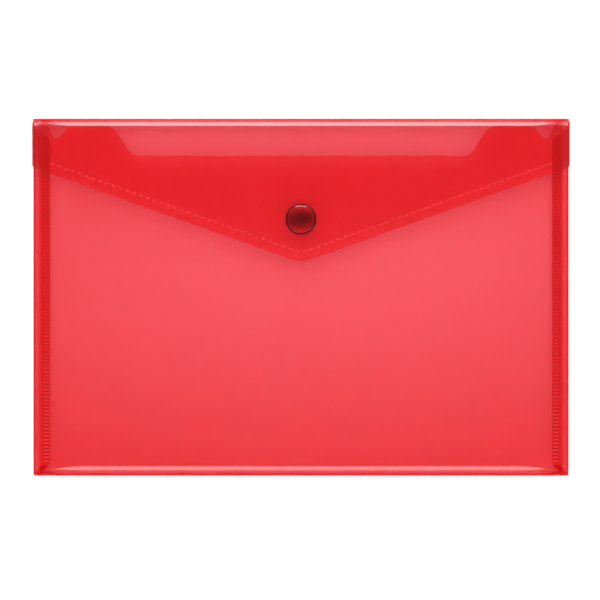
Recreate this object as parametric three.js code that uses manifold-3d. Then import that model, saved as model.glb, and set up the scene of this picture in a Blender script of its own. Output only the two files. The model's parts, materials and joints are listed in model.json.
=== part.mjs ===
// A5 landscape envelope folder of translucent polypropylene sheet.
// One blank is folded into a back, a front with two welded side seams and a pointed flap,
// and a four-piece plastic press stud holds the flap shut.
// Millimetres. The folder lies on its back: X is its width, +Y points at the fold that the
// flap hangs on, and +Z points out of the front.

import * as THREE from 'three';
import { mergeVertices } from 'three/addons/utils/BufferGeometryUtils.js';
import Module from 'manifold-3d';

const wasm = await Module();
wasm.setup();

// Pocket
const bodyWidth = 240;
const bodyHeight = 160;
const sheet = 0.4;
const pocketGap = 5.2;
const bottomFoldDepth = 4.6;
const sideFoldDepth = 3.2;
const topFoldDepth = 3.8;
const foldSteps = 12;
const edgeSteps = 5;

// Side seams: a flange folded in from the front and welded to the back's edge by a row of teeth
const seamWidth = 4.0;
const seamGap = 0.3;
const seamTopDrop = 4.7;
const seamTopSlant = 4.0;
const seamFootSlant = 1.2;
const toothPitch = 1.6;
const toothHeight = 0.8;
const toothLength = 2.5;
const toothEdge = 0.3;
const toothBite = 0.2;

// The back's edge, set in beside the pocket and widening under the flap
const backInset = 3.3;
const backStepDrop = 22.1;
const backStepHeight = 5.8;
const backFootInset = 0.6;

// Front's upper edge, each inset measured from the side: thumb cut-out, shoulders, notches and ears
const thumbInset = 47.9;
const thumbDrop = 16.7;
const shoulderInset = 32.4;
const shoulderDrop = 3.3;
const notchMouthInset = 16.5;
const notchInset = 10.0;
const notchDrop = 8.5;
const notchRound = 1.6;
const earFootInset = 7.3;
const earInset = 4.9;
const earDrop = 3.0;
const earFall = 1.2;

// Flap
const flapOverhang = 0.25;
const flapTaper = 0.35;
const flapDrop = 63.8;
const flapSlope = 0.357;
const flapTipRadius = 14;
const flapCornerRadius = 2.0;
const scoreInset = 4.3;
const scoreDepth = 0.12;
const scoreWidth = 0.35;
const scoreDash = 2.2;
const scorePitch = 3.2;
const scoreEndInset = 9.0;

// Press stud
const studDrop = 45.1;
const roundSteps = 36;
const capRadius = 6.85;
const capHeight = 2.0;
const capRimHeight = 0.75;
const capRimWidth = 0.55;
const capGrooveWidth = 0.35;
const capGrooveDepth = 0.25;
const postRadius = 1.3;
const postGap = 0.2;
const crimpRadius = 1.9;
const crimpHeight = 0.45;
const rivetRadius = 5.5;
const rivetHeight = 0.7;
const rivetRimHeight = 0.3;
const studRadius = 5.3;
const studBaseHeight = 0.4;
const studWaistRadius = 2.95;
const studHeadRadius = 3.25;
const studHeadHeight = 1.2;
const studBore = 2.25;
const socketRadius = 5.3;
const socketBaseHeight = 0.4;
const socketBore = 3.7;
const socketLipRadius = 3.55;
const socketSlots = 8;
const socketSlotWidth = 0.6;
const snapGap = 0.3;
const edgeBreak = 0.2;

// Colours
const sheetRed = 0xe2252c;
const studRed = 0x6e0f14;

// Heights above the table
const halfWidth = bodyWidth / 2;
const halfHeight = bodyHeight / 2;
const backTop = sheet;
const frontUnder = backTop + pocketGap;
const frontTop = frontUnder + sheet;
const seamUnder = backTop + seamGap;
const seamCrown = ( seamUnder + frontTop ) / 2;
const bottomCrown = frontTop / 2;
const studBaseTop = frontTop + studBaseHeight;
const studHeadTop = studBaseTop + studHeadHeight;
const socketCeiling = studHeadTop + snapGap;
const flapUnder = socketCeiling + socketBaseHeight;
const flapTop = flapUnder + sheet;
const hingeHeight = flapTop / 2;
const clear = 1;

// Places across the sheet
const foldX = halfWidth - sideFoldDepth;
const seamInnerX = foldX - seamWidth;
const backX = halfWidth - backInset;
const flapX = halfWidth + flapOverhang;
const bottomFoldY = bottomFoldDepth - halfHeight;
const topFoldY = halfHeight - topFoldDepth;
const thumbX = halfWidth - thumbInset;
const shoulderX = halfWidth - shoulderInset;
const notchMouthX = halfWidth - notchMouthInset;
const notchX = halfWidth - notchInset;
const earFootX = halfWidth - earFootInset;
const earX = halfWidth - earInset;
const thumbY = halfHeight - thumbDrop;
const shoulderY = halfHeight - shoulderDrop;
const notchY = halfHeight - notchDrop;
const earY = halfHeight - earDrop;
const studY = halfHeight - studDrop;
const flapTipY = halfHeight - flapDrop;
const holeRadius = postRadius + postGap;

// A closed geometry becomes a solid once only its positions are left and shared corners are merged.
function solid( geometry ) {

	for ( const name of Object.keys( geometry.attributes ) ) {

		if ( name !== 'position' ) geometry.deleteAttribute( name );

	}

	const merged = mergeVertices( geometry, 1e-4 );
	const corners = merged.index.array;
	const kept = [];
	for ( let i = 0; i < corners.length; i += 3 ) {

		const [ a, b, c ] = corners.slice( i, i + 3 );
		if ( a !== b && b !== c && c !== a ) kept.push( a, b, c );

	}

	return new wasm.Manifold( new wasm.Mesh( {
		numProp: 3,
		vertProperties: new Float32Array( merged.attributes.position.array ),
		triVerts: new Uint32Array( kept )
	} ) );

}

function geometryOf( body ) {

	const data = body.getMesh();
	const geometry = new THREE.BufferGeometry();
	geometry.setAttribute( 'position', new THREE.BufferAttribute( new Float32Array( data.vertProperties ), 3 ) );
	geometry.setIndex( new THREE.BufferAttribute( new Uint32Array( data.triVerts ), 1 ) );
	geometry.computeVertexNormals();
	return geometry;

}

function extruded( shape, depth ) {

	return new THREE.ExtrudeGeometry( shape, { depth, bevelEnabled: false, curveSegments: foldSteps } );

}

// A plate with its outline in X and Y, between two heights.
function plate( shape, low, high ) {

	return solid( extruded( shape, high - low ).translate( 0, 0, low ) );

}

function polygon( points ) {

	return new THREE.Shape( points.map( ( [ x, y ] ) => new THREE.Vector2( x, y ) ) );

}

function block( [ lowX, highX ], [ lowY, highY ], [ lowZ, highZ ] ) {

	return plate( polygon( [ [ lowX, lowY ], [ highX, lowY ], [ highX, highY ], [ lowX, highY ] ] ), lowZ, highZ );

}

function mirrorX( body ) {

	return body.mirror( [ 1, 0, 0 ] );

}

// The filled space under a rounded fold. It is drawn outwards from the crease and reaches back
// behind it, and a shell is the difference of two of them, one set in by the sheet.
function foldSpace( depth, low, high, reach, length, inset ) {

	const middle = ( low + high ) / 2;
	const rise = ( high - low ) / 2 - inset;
	const points = [ [ - reach, middle + rise ], [ - reach, middle - rise ] ];
	for ( let i = 0; i <= foldSteps; i ++ ) {

		const turn = Math.PI * ( i / foldSteps - 0.5 );
		points.push( [ ( depth - inset ) * Math.cos( turn ), middle + rise * Math.sin( turn ) ] );

	}

	return solid( extruded( polygon( points ), length ).translate( 0, 0, - length / 2 ) );

}

function bottomSpace( inset ) {

	return foldSpace( bottomFoldDepth, 0, frontTop, 2 * bodyHeight, 2 * bodyWidth, inset )
		.rotate( [ 90, 0, - 90 ] )
		.translate( [ 0, bottomFoldY, 0 ] );

}

function sideSpace( inset ) {

	const right = foldSpace( sideFoldDepth, seamUnder, frontTop, 2 * bodyWidth, 2 * bodyHeight, inset )
		.rotate( [ 90, 0, 0 ] )
		.translate( [ foldX, 0, 0 ] );
	return right.intersect( mirrorX( right ) );

}

// The front's upper edge on one side, from the thumb cut-out to the side, as points on its curves.
// Each curve has its start, the point that it bends towards, and its end.
function frontEdge( side ) {

	const bend = ( shoulderX - thumbX ) / 3;
	const slopeX = ( shoulderX + thumbX ) / 2;
	const slopeY = ( shoulderY + thumbY ) / 2;
	const curves = [
		[ [ thumbX, thumbY ], [ thumbX + bend, thumbY ], [ slopeX, slopeY ] ],
		[ [ slopeX, slopeY ], [ shoulderX - bend, shoulderY ], [ shoulderX, shoulderY ] ],
		[
			[ notchMouthX - notchRound, shoulderY ],
			[ notchMouthX, shoulderY ],
			[ notchMouthX + notchRound, shoulderY - notchRound ]
		],
		[
			[ notchX - notchRound, notchY + notchRound ],
			[ notchX, notchY - notchRound ],
			[ notchX + notchRound / 2, notchY + notchRound ]
		],
		[ [ earFootX, earY - earFall ], [ earFootX + notchRound / 2, earY ], [ earX, earY ] ],
		[ [ earX, earY ], [ ( earX + halfWidth ) / 2, earY ], [ halfWidth, earY - earFall ] ]
	];
	return curves.flatMap( ( ends ) => {

		const corners = ends.map( ( [ x, y ] ) => new THREE.Vector2( side * x, y ) );
		return new THREE.QuadraticBezierCurve( ...corners ).getPoints( edgeSteps );

	} );

}

// Outline of the front, past its sides and bottom where the folds take over.
function frontOutline() {

	const sideY = earY - earFall;
	const right = frontEdge( 1 );
	const left = frontEdge( - 1 );
	const ends = [
		new THREE.Vector2( halfWidth + clear, sideY ),
		new THREE.Vector2( halfWidth + clear, - halfHeight - clear ),
		new THREE.Vector2( - halfWidth - clear, - halfHeight - clear ),
		new THREE.Vector2( - halfWidth - clear, sideY )
	];
	const points = [ ...right, ...ends, ...left.reverse() ];
	const apart = points.filter( ( point, i ) => i === 0 || point.distanceTo( points[ i - 1 ] ) > 1e-3 );
	return new THREE.Shape( apart.reverse() );

}

// Outline of one seam flange with the quarter fold that carries it, slanted at both ends.
function seamOutline() {

	const topY = halfHeight - seamTopDrop;
	const width = halfWidth - seamInnerX;
	const past = clear / width;
	return polygon( [
		[ seamInnerX, bottomFoldY + seamFootSlant ],
		[ halfWidth + clear, bottomFoldY - seamFootSlant * past ],
		[ halfWidth + clear, topY + seamTopSlant * past ],
		[ seamInnerX, topY - seamTopSlant ]
	] );

}

function circle( x, y, radius ) {

	const ring = new THREE.Shape();
	ring.absarc( x, y, radius, 0, 2 * Math.PI, false );
	return new THREE.Shape( ring.getPoints( roundSteps / 2 ).slice( 0, - 1 ) );

}

function studHole( low, high ) {

	return plate( circle( 0, studY, holeRadius ), low - clear, high + clear );

}

function backPanel() {

	const stepY = halfHeight - backStepDrop;
	const wideY = stepY + backStepHeight;
	return plate( polygon( [
		[ - backX, bottomFoldY ], [ backX, bottomFoldY ], [ backX, stepY ], [ halfWidth, wideY ],
		[ halfWidth, topFoldY ], [ - halfWidth, topFoldY ], [ - halfWidth, wideY ], [ - backX, stepY ]
	] ), 0, backTop );

}

// A quarter of the top fold, from one turn round its crown to another, narrowing towards the crown.
function topQuarter( startTurn ) {

	const points = [];
	const back = [];
	for ( let i = 0; i <= foldSteps / 2; i ++ ) {

		const turn = startTurn + Math.PI * i / foldSteps;
		const [ out, up ] = [ Math.cos( turn ), Math.sin( turn ) ];
		points.push( [ topFoldDepth * out, hingeHeight + hingeHeight * up ] );
		back.push( [ ( topFoldDepth - sheet ) * out, hingeHeight + ( hingeHeight - sheet ) * up ] );

	}

	const taperX = halfWidth - flapTaper;
	const width = polygon( [
		[ - halfWidth, topFoldY - clear ], [ halfWidth, topFoldY - clear ],
		[ halfWidth, topFoldY ], [ taperX, halfHeight + clear ],
		[ - taperX, halfHeight + clear ], [ - halfWidth, topFoldY ]
	] );
	return solid( extruded( polygon( [ ...points, ...back.reverse() ] ), bodyWidth + 2 * clear ) )
		.translate( [ 0, 0, - halfWidth - clear ] )
		.rotate( [ 90, 0, 90 ] )
		.translate( [ 0, topFoldY, 0 ] )
		.intersect( plate( width, - clear, flapTop + clear ) );

}

// The shell round the whole pocket, mitred where a side fold meets the bottom one. Its folds are
// taken as two quarters each, one that belongs to the front and one behind it.
const pocketShell = bottomSpace( 0 ).intersect( sideSpace( 0 ) )
	.subtract( bottomSpace( sheet ).intersect( sideSpace( sheet ) ) );
const belowCrease = [ - halfHeight - clear, bottomFoldY ];
const aboveCrease = [ bottomFoldY, halfHeight ];
const outsideCrease = [ foldX, halfWidth + clear ];

function frontPanel() {

	const flat = block( [ - foldX, foldX ], aboveCrease, [ seamCrown, frontTop + clear ] );
	return plate( frontOutline(), frontUnder, frontTop )
		.intersect( flat )
		.subtract( studHole( frontUnder, frontTop ) );

}

function bottomFoldFront() {

	const acrossBody = [ - halfWidth - clear, halfWidth + clear ];
	return pocketShell.intersect( block( acrossBody, belowCrease, [ bottomCrown, frontTop + clear ] ) );

}

function bottomFoldBack() {

	const footX = halfWidth - backFootInset;
	const footY = backFootInset - halfHeight;
	const outline = polygon( [
		[ - footX, footY - clear ], [ footX, footY - clear ], [ footX, footY ],
		[ backX, bottomFoldY ], [ - backX, bottomFoldY ], [ - footX, footY ]
	] );
	return bottomSpace( 0 ).subtract( bottomSpace( sheet ) ).intersect( plate( outline, - clear, bottomCrown ) );

}

function rightSideFoldFront() {

	return pocketShell
		.intersect( block( outsideCrease, aboveCrease, [ seamCrown, frontTop + clear ] ) )
		.intersect( plate( frontOutline(), seamCrown, frontTop + clear ) );

}

function rightSideFoldBack() {

	return pocketShell
		.intersect( block( outsideCrease, aboveCrease, [ 0, seamCrown ] ) )
		.intersect( plate( seamOutline(), 0, seamCrown ) );

}

// Weld teeth stand on the flange's underside and meet the back.
function rightSeamFlange() {

	const inside = block( [ seamInnerX, foldX ], aboveCrease, [ 0, seamCrown ] );
	const lowY = bottomFoldY + seamFootSlant + toothPitch / 2;
	const highY = halfHeight - seamTopDrop - seamTopSlant - toothHeight;
	const across = [ seamInnerX + toothEdge, seamInnerX + toothEdge + toothLength ];
	const parts = [ plate( seamOutline(), seamUnder, seamUnder + sheet ).intersect( inside ) ];
	for ( let y = lowY; y <= highY; y += toothPitch ) {

		parts.push( block( across, [ y, y + toothHeight ], [ backTop, seamUnder + toothBite ] ) );

	}

	return wasm.Manifold.union( parts );

}

// The two straight edges and the round tip of the flap, set in by a distance.
function flapEdge( inset, endX ) {

	const lean = Math.atan( flapSlope );
	const centre = new THREE.Vector2( 0, flapTipY + flapTipRadius );
	const radius = flapTipRadius - inset;
	const touch = new THREE.Vector2( radius * Math.sin( lean ), centre.y - radius * Math.cos( lean ) );
	const end = new THREE.Vector2( endX, touch.y + ( endX - touch.x ) * flapSlope );
	const path = new THREE.CurvePath();
	path.add( new THREE.LineCurve( new THREE.Vector2( - end.x, end.y ), new THREE.Vector2( - touch.x, touch.y ) ) );
	path.add( new THREE.EllipseCurve(
		0, centre.y, radius, radius, - Math.PI / 2 - lean, - Math.PI / 2 + lean, false, 0
	) );
	path.add( new THREE.LineCurve( touch, end ) );
	return path;

}

function flapOutline() {

	const edge = flapEdge( 0, flapX );
	const [ left, tip, right ] = edge.curves;
	const corner = new THREE.Path();
	corner.moveTo( flapX, right.v2.y + flapCornerRadius );
	corner.quadraticCurveTo( flapX, right.v2.y, flapX - flapCornerRadius, right.v2.y - flapCornerRadius * flapSlope );
	const rightCorner = corner.getPoints( 6 ).reverse();
	const leftCorner = rightCorner.map( ( point ) => new THREE.Vector2( - point.x, point.y ) ).reverse();
	return new THREE.Shape( [
		new THREE.Vector2( - halfWidth, topFoldY ),
		...leftCorner,
		left.v2,
		...tip.getPoints( foldSteps ).slice( 1, - 1 ),
		right.v1,
		...rightCorner,
		new THREE.Vector2( halfWidth, topFoldY )
	] );

}

// The dashed score beside the flap's edge, as shallow cuts that follow it.
function scoreCuts() {

	const edge = flapEdge( scoreInset, flapX - scoreEndInset );
	const length = edge.getLength();
	const count = Math.floor( length / scorePitch );
	const start = ( length - ( count - 1 ) * scorePitch ) / 2;
	const cuts = [];
	for ( let i = 0; i < count; i ++ ) {

		const share = ( start + i * scorePitch ) / length;
		const place = edge.getPointAt( share );
		const run = edge.getTangentAt( share );
		const dash = new THREE.BoxGeometry( scoreDash, scoreWidth, 2 * scoreDepth );
		dash.rotateZ( Math.atan2( run.y, run.x ) );
		dash.translate( place.x, place.y, flapTop );
		cuts.push( solid( dash ) );

	}

	return wasm.Manifold.union( cuts );

}

function flapPanel() {

	return plate( flapOutline(), flapUnder, flapTop )
		.subtract( studHole( flapUnder, flapTop ) )
		.subtract( scoreCuts() );

}

// A turned piece on the stud's axis, from radii and heights that run up its outside.
function turned( profile ) {

	const points = profile.map( ( [ radius, height ] ) => new THREE.Vector2( radius, height ) );
	const geometry = new THREE.LatheGeometry( points, roundSteps );
	return solid( geometry.rotateX( Math.PI / 2 ).translate( 0, studY, 0 ) );

}

// Domed cap over the flap, with its post spread under the socket.
function pressCap() {

	const rimTop = flapTop + capRimHeight;
	const grooveOuter = capRadius - capRimWidth;
	const domeRadius = grooveOuter - capGrooveWidth;
	const domeSteps = 7;
	const dome = [];
	for ( let i = 0; i <= domeSteps; i ++ ) {

		const turn = Math.PI / 2 * i / domeSteps;
		dome.push( [ domeRadius * Math.cos( turn ), rimTop + ( capHeight - capRimHeight ) * Math.sin( turn ) ] );

	}

	dome[ domeSteps ][ 0 ] = 0;
	return turned( [
		[ 0, socketCeiling - crimpHeight ],
		[ crimpRadius - edgeBreak, socketCeiling - crimpHeight ],
		[ crimpRadius, socketCeiling - crimpHeight + edgeBreak ],
		[ crimpRadius, socketCeiling ],
		[ postRadius, socketCeiling ],
		[ postRadius, flapTop ],
		[ capRadius - edgeBreak, flapTop ],
		[ capRadius, flapTop + edgeBreak ],
		[ capRadius, rimTop - edgeBreak ],
		[ capRadius - edgeBreak, rimTop ],
		[ grooveOuter, rimTop ],
		[ grooveOuter - edgeBreak / 2, rimTop - capGrooveDepth ],
		[ domeRadius, rimTop - capGrooveDepth ],
		...dome
	] );

}

// Socket under the flap, its wall slotted into spring fingers with a lip.
function pressSocket() {

	const foot = studBaseTop + snapGap;
	const ring = turned( [
		[ holeRadius, socketCeiling ],
		[ socketBore, socketCeiling ],
		[ socketBore, foot + 3 * edgeBreak ],
		[ socketLipRadius, foot + 2 * edgeBreak ],
		[ socketLipRadius, foot + edgeBreak ],
		[ socketLipRadius + edgeBreak, foot ],
		[ socketRadius - edgeBreak, foot ],
		[ socketRadius, foot + edgeBreak ],
		[ socketRadius, flapUnder ],
		[ holeRadius, flapUnder ],
		[ holeRadius, socketCeiling ]
	] );
	const slot = block(
		[ studBore, socketRadius + clear ],
		[ - socketSlotWidth / 2, socketSlotWidth / 2 ],
		[ foot - clear, socketCeiling - edgeBreak ]
	);
	const cuts = [];
	for ( let i = 0; i < socketSlots; i ++ ) {

		cuts.push( slot.rotate( [ 0, 0, 360 * ( i + 0.5 ) / socketSlots ] ).translate( [ 0, studY, 0 ] ) );

	}

	return ring.subtract( wasm.Manifold.union( cuts ) );

}

// Stud on the front: a base and a hollow head with a waist.
function pressStud() {

	return turned( [
		[ holeRadius, frontTop ],
		[ studRadius, frontTop ],
		[ studRadius, studBaseTop - edgeBreak ],
		[ studRadius - edgeBreak, studBaseTop ],
		[ studWaistRadius, studBaseTop ],
		[ studWaistRadius, studBaseTop + studHeadHeight / 3 ],
		[ studHeadRadius, studBaseTop + studHeadHeight / 2 ],
		[ studHeadRadius, studHeadTop - studHeadHeight / 4 ],
		[ studWaistRadius, studHeadTop ],
		[ studBore, studHeadTop ],
		[ studBore, studBaseTop ],
		[ holeRadius, studBaseTop ],
		[ holeRadius, frontTop ]
	] );

}

// Rivet inside the pocket, with its post spread in the stud's hollow.
function studRivet() {

	return turned( [
		[ 0, frontUnder - rivetHeight ],
		[ rivetRadius - 2 * rivetRimHeight, frontUnder - rivetHeight ],
		[ rivetRadius, frontUnder - rivetRimHeight ],
		[ rivetRadius, frontUnder ],
		[ postRadius, frontUnder ],
		[ postRadius, studBaseTop ],
		[ crimpRadius, studBaseTop ],
		[ crimpRadius, studBaseTop + crimpHeight - edgeBreak ],
		[ crimpRadius - edgeBreak, studBaseTop + crimpHeight ],
		[ 0, studBaseTop + crimpHeight ]
	] );

}

function sheetMaterial() {

	return new THREE.MeshStandardMaterial( {
		color: sheetRed, roughness: 0.25, metalness: 0, transparent: true, opacity: 0.6
	} );

}

function studMaterial() {

	return new THREE.MeshStandardMaterial( { color: studRed, roughness: 0.3, metalness: 0 } );

}

function named( name, body, material ) {

	const mesh = new THREE.Mesh( geometryOf( body ), material );
	mesh.name = name;
	return mesh;

}

const pocket = new THREE.Group();
pocket.add(
	named( 'back_panel', backPanel(), sheetMaterial() ),
	named( 'back_top_fold', topQuarter( - Math.PI / 2 ), sheetMaterial() ),
	named( 'bottom_fold_back', bottomFoldBack(), sheetMaterial() ),
	named( 'bottom_fold_front', bottomFoldFront(), sheetMaterial() ),
	named( 'front_panel', frontPanel(), sheetMaterial() ),
	named( 'right_side_fold_front', rightSideFoldFront(), sheetMaterial() ),
	named( 'left_side_fold_front', mirrorX( rightSideFoldFront() ), sheetMaterial() ),
	named( 'right_side_fold_back', rightSideFoldBack(), sheetMaterial() ),
	named( 'left_side_fold_back', mirrorX( rightSideFoldBack() ), sheetMaterial() ),
	named( 'right_seam_flange', rightSeamFlange(), sheetMaterial() ),
	named( 'left_seam_flange', mirrorX( rightSeamFlange() ), sheetMaterial() ),
	named( 'press_stud', pressStud(), studMaterial() ),
	named( 'stud_rivet', studRivet(), studMaterial() )
);

// The flap turns about the crown of the top fold.
const flap = new THREE.Group();
flap.add(
	named( 'flap_top_fold', topQuarter( 0 ), sheetMaterial() ),
	named( 'flap_panel', flapPanel(), sheetMaterial() ),
	named( 'press_cap', pressCap(), studMaterial() ),
	named( 'press_socket', pressSocket(), studMaterial() )
);

const folder = new THREE.Group();
folder.add( pocket, flap );

export default folder;
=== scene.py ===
"""Envelope document folder of translucent red sheet with a press stud.

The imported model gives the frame. The folded sheet, its welds, its dashed score and
the press stud are made here as smooth pieces in the same place, in metres.
"""

import json
import math

import bmesh
import bpy
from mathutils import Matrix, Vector

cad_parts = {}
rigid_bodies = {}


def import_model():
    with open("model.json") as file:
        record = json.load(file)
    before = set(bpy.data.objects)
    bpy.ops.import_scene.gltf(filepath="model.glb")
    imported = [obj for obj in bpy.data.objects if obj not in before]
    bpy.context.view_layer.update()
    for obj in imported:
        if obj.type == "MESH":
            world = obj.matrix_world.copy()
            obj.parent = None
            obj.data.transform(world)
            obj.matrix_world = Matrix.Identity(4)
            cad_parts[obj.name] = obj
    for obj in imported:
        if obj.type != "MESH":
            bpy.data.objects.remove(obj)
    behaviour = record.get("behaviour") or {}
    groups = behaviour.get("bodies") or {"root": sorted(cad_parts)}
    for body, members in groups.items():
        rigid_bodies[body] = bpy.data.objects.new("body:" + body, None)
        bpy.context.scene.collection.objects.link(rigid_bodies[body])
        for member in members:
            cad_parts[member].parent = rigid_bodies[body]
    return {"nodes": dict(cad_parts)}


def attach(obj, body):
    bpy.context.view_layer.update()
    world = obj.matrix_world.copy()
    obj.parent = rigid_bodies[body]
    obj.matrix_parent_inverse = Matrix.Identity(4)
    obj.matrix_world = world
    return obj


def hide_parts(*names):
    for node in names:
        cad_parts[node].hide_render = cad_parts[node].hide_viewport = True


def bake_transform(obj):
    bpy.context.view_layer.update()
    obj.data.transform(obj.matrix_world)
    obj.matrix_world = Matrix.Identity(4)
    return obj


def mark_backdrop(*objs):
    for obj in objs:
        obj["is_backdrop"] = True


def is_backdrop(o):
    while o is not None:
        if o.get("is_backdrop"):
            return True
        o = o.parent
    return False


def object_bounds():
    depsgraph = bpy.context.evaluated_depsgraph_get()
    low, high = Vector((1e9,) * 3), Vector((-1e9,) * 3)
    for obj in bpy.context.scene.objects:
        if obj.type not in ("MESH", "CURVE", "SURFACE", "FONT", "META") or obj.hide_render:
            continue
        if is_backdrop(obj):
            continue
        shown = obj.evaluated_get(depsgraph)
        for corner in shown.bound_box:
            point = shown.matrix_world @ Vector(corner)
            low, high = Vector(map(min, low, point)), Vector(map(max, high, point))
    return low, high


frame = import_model()
CAD_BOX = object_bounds()

MM = 0.001

# The blank, in millimetres, measured on the middle of the sheet's thickness.
SHEET = 0.4
HALF_SHEET = SHEET / 2
HALF_W = 120.0
BACK_Z = 0.2
SEAM_Z = 0.9
FRONT_Z = 5.8
FLAP_Z = 8.5

# Where the sheet starts to bend, and how far each fold reaches out from there.
SIDE_X = 116.8
SIDE_REACH = 3.0
SIDE_CROWN_Z = 3.35
BOTTOM_Y = -75.4
BOTTOM_REACH = 4.4
BOTTOM_CROWN_Z = 3.0
TOP_Y = 76.2
TOP_REACH = 3.6
TOP_CROWN_Z = 4.35
FOLD_ROWS = 12
CORNER_LIFT_Y = -69.0

# Upper edges of the pocket.
BACK_X = 116.7
BACK_STEP_Y = (57.9, 63.7)
SIDE_TOP_Y = 75.5
FRONT_CORNER_Y = 76.95
SEAM_X = 112.8
SEAM_TOP_Y = (73.5, 71.3)
SEAM_FOOT_Y = -74.2

# Flap: a shallow V with a rounded tip.
FLAP_X = 120.25
FLAP_CROWN_X = 119.9
FLAP_SLOPE = 0.357
FLAP_V_Y = 15.33
TIP_R = 14.0
TIP_CENTRE_Y = 30.2
TIP_ROWS = 18
CORNER_R = 2.0

# The flap sinks towards the front from its fold on, and below the stud. It is held up
# for HELD beside the stud, and free past FREE_WIDTH more.
DROOP_FROM_Y = 75.0
DROOP_SLOPE = 0.043
DROOP_EASE = 6.0
HELD = 9.0
FREE_WIDTH = 30.0

# Dashed score along the V.
SCORE_INSET = 4.3
SCORE_END_X = 111.25
SCORE_DASH = 1.6
SCORE_PITCH = 3.2
SCORE_W = 0.46
SCORE_DEPTH = 0.14

# Weld teeth.
TOOTH_PITCH = 1.6
TOOTH_H = 0.8
TOOTH_L = 2.3
TOOTH_MID_X = 114.0
TOOTH_FIRST_Y = -73.0
TOOTH_COUNT = 90
TOOTH_Z = (0.42, 0.69)

STUD_Y = 34.9


# Materials.


class Val:
    """One socket of a shader tree, so that shader maths reads as arithmetic."""

    def __init__(self, tree, socket):
        self.tree = tree
        self.socket = socket

    def _math(self, operation, a, b=None):
        values = {0: a} if b is None else {0: a, 1: b}
        return self.tree.add("ShaderNodeMath", {"operation": operation}, values)[0]

    def __add__(self, other):
        return self._math("ADD", self, other)

    __radd__ = __add__

    def __sub__(self, other):
        return self._math("SUBTRACT", self, other)

    def __rsub__(self, other):
        return self._math("SUBTRACT", other, self)

    def __mul__(self, other):
        return self._math("MULTIPLY", self, other)

    __rmul__ = __mul__

    def __truediv__(self, other):
        return self._math("DIVIDE", self, other)

    def __pow__(self, other):
        return self._math("POWER", self, other)

    def __abs__(self):
        return self._math("ABSOLUTE", self)

    def cosine(self):
        return self._math("COSINE", self)

    def clamped(self, low=0.0, high=1.0):
        limited = self._math("MAXIMUM", self, low)
        return limited._math("MINIMUM", limited, high)

    def ramp(self, low, high):
        """0 at low, 1 at high, smooth between."""
        node = self.tree.add(
            "ShaderNodeMapRange",
            {"interpolation_type": "SMOOTHSTEP"},
            {"Value": self, "From Min": low, "From Max": high},
        )
        return node[0]


class ShaderTree:
    """A material's node tree, filled by one method."""

    def __init__(self, name):
        self.material = bpy.data.materials.new(name)
        self.material.use_nodes = True
        self.nodes = self.material.node_tree.nodes
        self.links = self.material.node_tree.links
        self.nodes.clear()

    def add(self, kind, settings=None, sockets=None):
        node = self.nodes.new(kind)
        for key, value in (settings or {}).items():
            setattr(node, key, value)
        for key, value in (sockets or {}).items():
            target = node.inputs[key]
            if isinstance(value, Val):
                self.links.new(value.socket, target)
            else:
                target.default_value = value
        return [Val(self, out) for out in node.outputs if out.enabled]

    def place(self):
        """X, Y and Z of the point, in the object's own metres."""
        where = self.add("ShaderNodeTexCoord")[3]
        return where, self.add("ShaderNodeSeparateXYZ", {}, {"Vector": where})

    def noise(self, where, scale, detail=3.0, rough=0.55):
        return self.add(
            "ShaderNodeTexNoise",
            {},
            {"Vector": where, "Scale": scale, "Detail": detail, "Roughness": rough},
        )[0]

    def mixed_colour(self, factor, a, b):
        """From colour a to colour b; each is linear red, green, blue or a socket."""
        sockets = {"Factor": factor}
        for key, value in ((6, a), (7, b)):
            sockets[key] = value if isinstance(value, Val) else (*value, 1.0)
        return self.add("ShaderNodeMix", {"data_type": "RGBA"}, sockets)[0]

    def bump(self, strength, height):
        return self.add(
            "ShaderNodeBump",
            {},
            {"Strength": strength, "Distance": BUMP_DEPTH, "Height": height},
        )[0]

    def finish(self, shader):
        self.add("ShaderNodeOutputMaterial", {}, {"Surface": shader})
        return self.material


def hairlines(tree, where, turn, scale, width):
    """Fine straight scratches, running one way."""
    turned = tree.add(
        "ShaderNodeMapping",
        {},
        {"Vector": where, "Rotation": (0.0, 0.0, turn), "Scale": (1.0, 0.02, 1.0)},
    )[0]
    field = tree.noise(turned, scale, 1.0, 0.4)
    return 1.0 - (abs(field - 0.5) / width).clamped()


# Patterns to the metre: broad drifts, clouds and the fine pebble of the sheet's skin.
BROAD_SCALE = 9.0
CLOUD_SCALE = 60.0
PEBBLE_SCALE = 2600.0
SKIN_ROUGHNESS = 0.08
SKIN_BUMP = 0.06
STUD_BUMP = 0.05
BUMP_DEPTH = 0.00002

# Painted shade: where the front is palest, in metres, and how fast the painted red gathers
# from there on X and on Y, darker and redder towards the sides and the bottom.
PALEST_LIT_X, PALEST_LIT_Y = 0.015, 0.020
SHADE_GATHER_X, SHADE_GATHER_Y = 15.0, 85.0

# How strongly the weld prints through along the seam, in metres of Y: two stretches
# over which it fades upwards, each with its share, what it has everywhere, and where
# it starts and stops.
WELD_FADES = ((-0.066, 0.0, 0.45), (-0.02, 0.06, 0.3))
WELD_EVERYWHERE = 0.25
WELD_STARTS = (-0.0745, -0.0735)
WELD_STOPS = (0.0700, 0.0715)


def weld_prints(x, y):
    """Masks of the weld's row of marks and, within it, of the teeth themselves."""
    first = (TOOTH_FIRST_Y - TOOTH_H / 2) * MM
    wave = ((y - first) * (math.tau / (TOOTH_PITCH * MM))).cosine() * -0.5 + 0.5
    row = abs(abs(x) - TOOTH_MID_X * MM).ramp(
        (TOOTH_L / 2 + 0.15) * MM, (TOOTH_L / 2 - 0.1) * MM
    )
    along = WELD_EVERYWHERE
    for low, high, part in WELD_FADES:
        along = (1.0 - y.ramp(low, high)) * part + along
    along = along * (y * -1.0).ramp(-WELD_STOPS[1], -WELD_STOPS[0])
    return row * along * y.ramp(*WELD_STARTS), wave.ramp(0.25, 0.75)


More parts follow.
